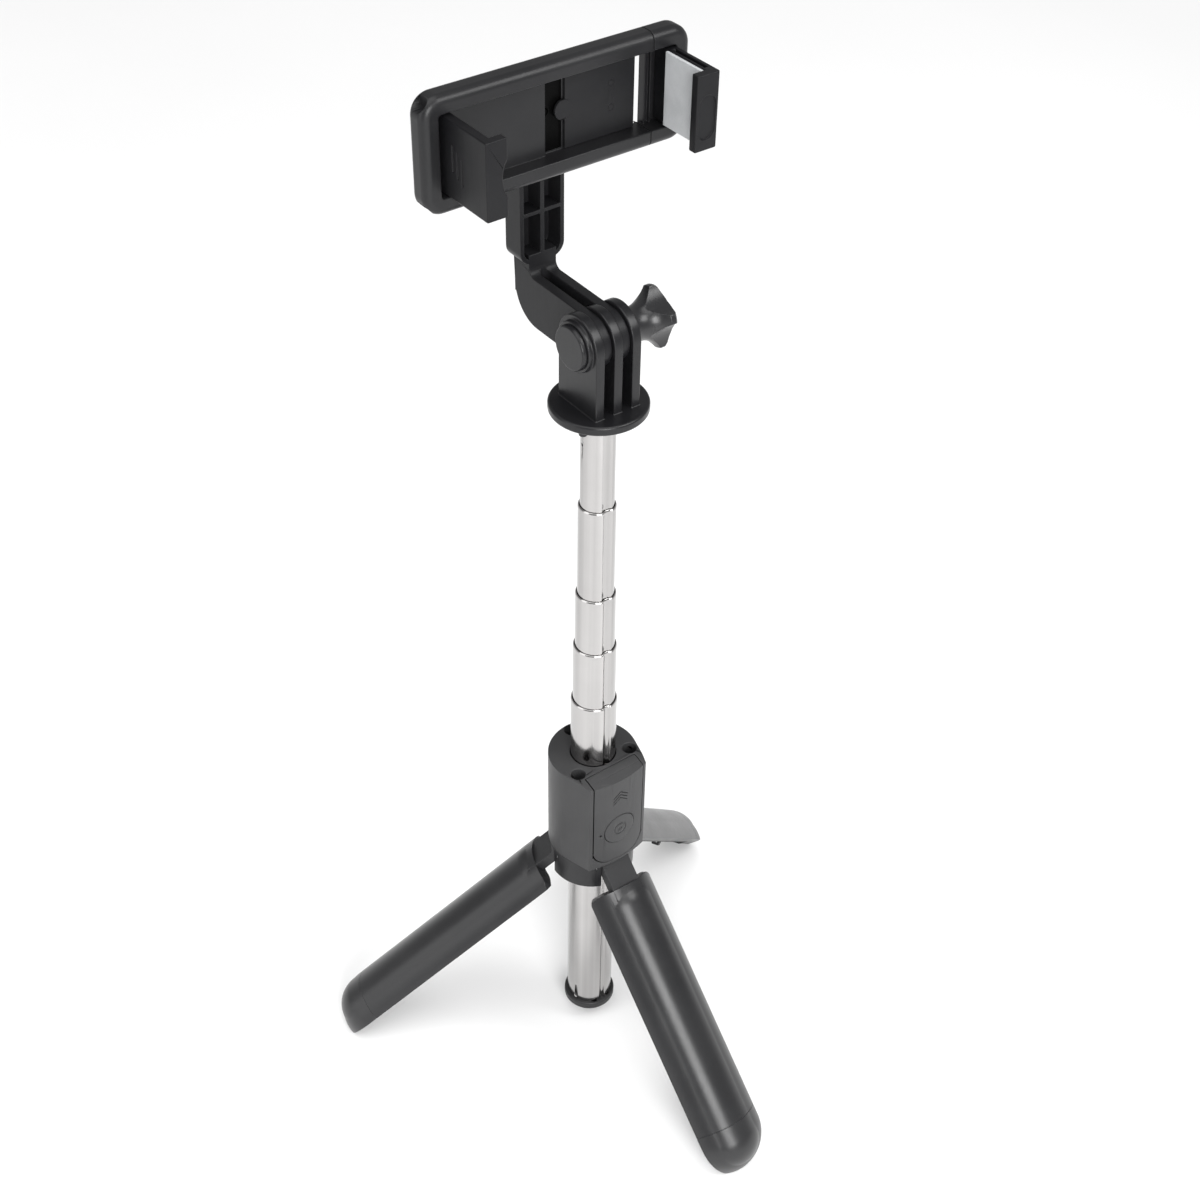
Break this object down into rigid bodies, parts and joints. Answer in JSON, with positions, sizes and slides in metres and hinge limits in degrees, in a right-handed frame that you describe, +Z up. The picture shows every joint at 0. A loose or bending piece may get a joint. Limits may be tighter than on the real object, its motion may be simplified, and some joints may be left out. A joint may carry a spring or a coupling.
{
  "type": "selfie stick",
  "caption": "Telescopic selfie stick with folding tripod legs, tilting arm, sprung phone holder and slide-out remote.",
  "frame": {"origin": "point of the floor on the axis of the pole, with the feet standing on z = 0", "axes": "+Z up along the pole, -Y towards the side that the phone and the remote face, +X towards the thumb knob"},
  "size_m": [0.1662, 0.1484, 0.3724],
  "materials": {
    "tube_steel": "polished stainless",
    "bush_plastic": "moulded",
    "soft_black_plastic": "satin",
    "black_plastic": "fine texture",
    "fastener_steel": "plated",
    "button_plastic": "satin",
    "circuit_board": "solder mask",
    "cell_steel": "polished",
    "switch_metal": "plated",
    "leg_plastic": "satin",
    "liner_plastic": "matte",
    "foot_plastic": "satin",
    "head_plastic": "satin",
    "knob_plastic": "satin",
    "insert_brass": "plain",
    "holder_plastic": "satin",
    "panel_plastic": "matte",
    "jaw_plastic": "satin",
    "spring_steel": "bare wire",
    "pad_rubber": "matte"
  },
  "bodies": {
    "stand": {"outer_tube": "tube_steel", "end_cap": "soft_black_plastic", "housing": "black_plastic", "hub": "black_plastic", "housing_screws": "fastener_steel", "leg_1_pin": "fastener_steel", "leg_2_pin": "fastener_steel", "leg_3_pin": "fastener_steel"},
    "tube_5": {"tube_5": "tube_steel", "bush_5": "bush_plastic"},
    "tube_4": {"tube_4": "tube_steel", "bush_4": "bush_plastic"},
    "tube_3": {"tube_3": "tube_steel", "bush_3": "bush_plastic"},
    "tube_2": {"tube_2": "tube_steel", "bush_2": "bush_plastic"},
    "head": {"tube_1": "tube_steel", "bush_1": "bush_plastic", "head_base": "head_plastic", "base_stud": "head_plastic", "hinge_nut": "fastener_steel", "nut_cover": "head_plastic"},
    "knob": {"hinge_bolt": "fastener_steel", "knob": "knob_plastic", "knob_insert": "insert_brass"},
    "arm": {"arm": "head_plastic"},
    "holder": {"holder_frame": "holder_plastic", "holder_panel": "panel_plastic", "left_jaw": "jaw_plastic", "clamp_spring_1": "spring_steel", "clamp_spring_2": "spring_steel", "swivel_screw": "fastener_steel", "swivel_washer": "fastener_steel"},
    "slider": {"slider": "holder_plastic", "right_jaw": "jaw_plastic", "jaw_pad": "pad_rubber"},
    "remote": {"remote_front": "black_plastic", "remote_back": "black_plastic", "remote_board": "circuit_board", "remote_cell": "cell_steel", "remote_switch": "switch_metal"},
    "button": {"remote_button": "button_plastic"},
    "leg_1": {"leg_1_shell": "leg_plastic", "leg_1_liner": "liner_plastic", "leg_1_foot": "foot_plastic"},
    "leg_2": {"leg_2_shell": "leg_plastic", "leg_2_liner": "liner_plastic", "leg_2_foot": "foot_plastic"},
    "leg_3": {"leg_3_shell": "leg_plastic", "leg_3_liner": "liner_plastic", "leg_3_foot": "foot_plastic"}
  },
  "joints": [
    {"name": "tube_5_slide", "type": "slide", "parent": "stand", "child": "tube_5", "axis": [0, 0, 1], "range_m": [-0.0214, 0.0805]},
    {"name": "tube_4_slide", "type": "slide", "parent": "tube_5", "child": "tube_4", "axis": [0, 0, 1], "range_m": [-0.0202, 0.082]},
    {"name": "tube_3_slide", "type": "slide", "parent": "tube_4", "child": "tube_3", "axis": [0, 0, 1], "range_m": [-0.0186, 0.0815]},
    {"name": "tube_2_slide", "type": "slide", "parent": "tube_3", "child": "tube_2", "axis": [0, 0, 1], "range_m": [-0.0313, 0.0665]},
    {"name": "tube_1_slide", "type": "slide", "parent": "tube_2", "child": "head", "axis": [0, 0, 1], "range_m": [-0.0314, 0.0643]},
    {"name": "knob_turn", "type": "hinge", "parent": "head", "child": "knob", "pos_m": [0.012, 0, 0.298], "axis": [1, 0, 0], "continuous": true},
    {"name": "head_tilt", "type": "hinge", "parent": "head", "child": "arm", "pos_m": [0, 0, 0.298], "axis": [1, 0, 0], "range_deg": [-35, 180]},
    {"name": "holder_swivel", "type": "hinge", "parent": "arm", "child": "holder", "pos_m": [0, 0.0275, 0.3555], "axis": [0, 1, 0], "range_deg": [-180, 180]},
    {"name": "clamp_slide", "type": "slide", "parent": "holder", "child": "slider", "axis": [1, 0, 0], "range_m": [0, 0.02], "stiffness_N_per_m": 250, "springref_m": -0.02},
    {"name": "remote_slide", "type": "slide", "parent": "stand", "child": "remote", "axis": [0, 0, 1], "range_m": [0, 0.038]},
    {"name": "button_press", "type": "slide", "parent": "remote", "child": "button", "axis": [0, 1, 0], "range_m": [0, 0.0003], "stiffness_N_per_m": 600, "springref_m": -0.0003},
    {"name": "leg_1_fold", "type": "hinge", "parent": "stand", "child": "leg_1", "pos_m": [-0.01039, 0.006, 0.0905], "axis": [-0.5, -0.866, 0], "range_deg": [0, 44.85]},
    {"name": "leg_2_fold", "type": "hinge", "parent": "stand", "child": "leg_2", "pos_m": [0, -0.012, 0.0905], "axis": [1, 0, 0], "range_deg": [0, 44.85]},
    {"name": "leg_3_fold", "type": "hinge", "parent": "stand", "child": "leg_3", "pos_m": [0.01039, 0.006, 0.0905], "axis": [-0.5, 0.866, 0], "range_deg": [0, 44.85]}
  ]
}
